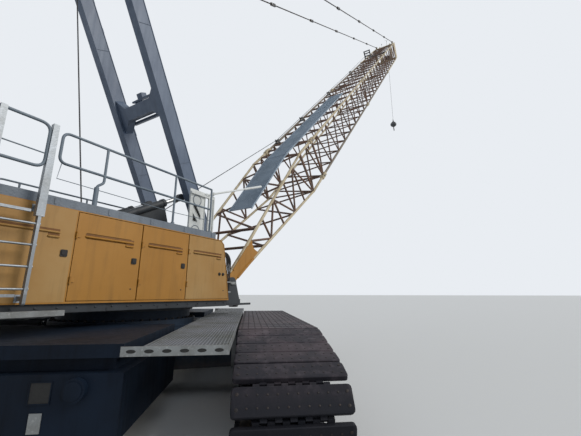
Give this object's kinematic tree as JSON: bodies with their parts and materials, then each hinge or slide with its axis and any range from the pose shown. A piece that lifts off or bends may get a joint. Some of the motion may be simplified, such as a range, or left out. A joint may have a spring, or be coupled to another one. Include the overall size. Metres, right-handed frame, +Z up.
{
  "type": "crawler crane",
  "caption": "Crawler crane with a lattice boom at work: crawlers, slewing superstructure with housings and cab, A-frame, stays, boom, hook ball.",
  "frame": {"origin": "on the ground, under the slewing axis", "axes": "+X forward along the boom, +Y to the crane's left, +Z up; the crawlers stand 37.3 degrees to the left of +X"},
  "size_m": [38.3643, 11.2685, 32.3447],
  "materials": {
    "housing_paint": "semi-gloss yellow enamel, dusty, faded on top",
    "frame_paint": "matt dark grey enamel, oily",
    "undercarriage_paint": "matt navy-grey enamel, worn and muddy",
    "ballast_paint": "matt navy-grey enamel, scuffed edges",
    "slate_paint": "semi-matt slate grey enamel",
    "rail_paint": "grey-blue enamel on tube",
    "boom_paint": "faded cream enamel with rust at the nodes",
    "track_steel": "worn rusty cast steel shoes",
    "roller_steel": "greasy dark cast steel",
    "drum_steel": "grey enamel, greased barrel",
    "sheave_steel": "dark enamel, bright groove",
    "galvanised_steel": "hot-dip galvanised, dull spangle",
    "stay_steel": "greased dark steel bars",
    "hook_steel": "dark weathered enamel",
    "cab_glass": "tinted flat safety glass",
    "seat_fabric": "black woven seat cover"
  },
  "bodies": {
    "undercarriage": {"carbody": "undercarriage_paint", "crawler_frame_left": "undercarriage_paint", "crawler_frame_right": "undercarriage_paint", "track_rollers_left": "roller_steel", "track_rollers_right": "roller_steel", "drive_sprockets": "roller_steel", "idler_wheels": "roller_steel", "track_left": "track_steel", "track_right": "track_steel", "carbody_counterweight_rear": "ballast_paint", "carbody_counterweight_front": "ballast_paint", "crawler_walkways": "galvanised_steel"},
    "superstructure": {"slewing_platform": "frame_paint", "housing_right": "housing_paint", "housing_left": "housing_paint", "engine_block": "roller_steel", "roof_decks": "slate_paint", "handrails_right": "rail_paint", "handrails_left": "rail_paint", "ladder": "galvanised_steel", "folded_platform": "galvanised_steel", "erecting_cylinders": "frame_paint", "cab": "housing_paint", "cab_glass": "cab_glass", "cab_seat": "seat_fabric", "counterweight_tray": "ballast_paint", "counterweight_slabs": "slate_paint"},
    "boom": {"boom_foot_section": "boom_paint", "boom_insert_lower": "boom_paint", "boom_insert_upper": "boom_paint", "boom_head_section": "boom_paint", "stays": "stay_steel"},
    "a_frame": {"a_frame": "slate_paint"},
    "a_frame_sheaves": {"a_frame_sheaves": "sheave_steel"},
    "boom_head_sheaves": {"boom_head_sheaves": "sheave_steel"},
    "hook": {"hook": "hook_steel"},
    "hoist_drum_front": {"hoist_drum_front": "drum_steel"},
    "hoist_drum_rear": {"hoist_drum_rear": "drum_steel"},
    "luffing_drum": {"luffing_drum": "drum_steel"},
    "cab_door": {"cab_door": "housing_paint"},
    "door_right_1": {"door_right_1": "housing_paint"},
    "door_right_2": {"door_right_2": "housing_paint"},
    "door_right_3": {"door_right_3": "housing_paint"},
    "door_left_1": {"door_left_1": "housing_paint"},
    "door_left_2": {"door_left_2": "housing_paint"},
    "door_left_3": {"door_left_3": "housing_paint"}
  },
  "joints": [
    {"name": "slewing", "type": "hinge", "parent": "undercarriage", "child": "superstructure", "pos_m": [0, 0, 1.3], "axis": [0, 0, 1], "continuous": true},
    {"name": "boom_luff", "type": "hinge", "parent": "superstructure", "child": "boom", "pos_m": [1.916, 0, 2.016], "axis": [0, -1, 0], "range_deg": [-30, 38]},
    {"name": "a_frame_tilt", "type": "hinge", "parent": "superstructure", "child": "a_frame", "pos_m": [1.916, 0, 2.016], "axis": [0, -1, 0], "range_deg": [-30, 38]},
    {"name": "hook_plumb", "type": "hinge", "parent": "boom", "child": "hook", "pos_m": [31.8959, 0, 31.22238], "axis": [0, -1, 0], "range_deg": [-38, 30]},
    {"name": "a_frame_sheaves_turn", "type": "hinge", "parent": "a_frame", "child": "a_frame_sheaves", "pos_m": [-2.48704, 0, 10.54673], "axis": [0, 1, 0], "continuous": true},
    {"name": "boom_head_sheaves_turn", "type": "hinge", "parent": "boom", "child": "boom_head_sheaves", "pos_m": [31.8959, 0, 31.22238], "axis": [0, 1, 0], "continuous": true},
    {"name": "hoist_drum_front_turn", "type": "hinge", "parent": "superstructure", "child": "hoist_drum_front", "pos_m": [0.7, 0, 2.33], "axis": [0, 1, 0], "continuous": true},
    {"name": "hoist_drum_rear_turn", "type": "hinge", "parent": "superstructure", "child": "hoist_drum_rear", "pos_m": [-0.6, 0, 2.33], "axis": [0, 1, 0], "continuous": true},
    {"name": "luffing_drum_turn", "type": "hinge", "parent": "superstructure", "child": "luffing_drum", "pos_m": [-1.9, 0, 2.33], "axis": [0, 1, 0], "continuous": true},
    {"name": "door_right_1_swing", "type": "hinge", "parent": "superstructure", "child": "door_right_1", "pos_m": [-2.128, -1.766, 2.2], "axis": [0, 0, -1], "range_deg": [0, 95]},
    {"name": "door_right_2_swing", "type": "hinge", "parent": "superstructure", "child": "door_right_2", "pos_m": [-1.048, -1.766, 2.2], "axis": [0, 0, -1], "range_deg": [0, 95]},
    {"name": "door_right_3_swing", "type": "hinge", "parent": "superstructure", "child": "door_right_3", "pos_m": [0.012, -1.766, 2.2], "axis": [0, 0, -1], "range_deg": [0, 95]},
    {"name": "door_left_1_swing", "type": "hinge", "parent": "superstructure", "child": "door_left_1", "pos_m": [-2.128, 1.766, 2.2], "axis": [0, 0, 1], "range_deg": [0, 95]},
    {"name": "door_left_2_swing", "type": "hinge", "parent": "superstructure", "child": "door_left_2", "pos_m": [-1.048, 1.766, 2.2], "axis": [0, 0, 1], "range_deg": [0, 95]},
    {"name": "door_left_3_swing", "type": "hinge", "parent": "superstructure", "child": "door_left_3", "pos_m": [0.012, 1.766, 2.2], "axis": [0, 0, 1], "range_deg": [0, 95]},
    {"name": "cab_door_slide", "type": "slide", "parent": "superstructure", "child": "cab_door", "axis": [-1, 0, 0], "range_m": [0, 0.75]}
  ],
  "couplings": [
    {"joint": "a_frame_tilt", "follows": "boom_luff", "ratio": 1},
    {"joint": "hook_plumb", "follows": "boom_luff", "ratio": -1}
  ]
}
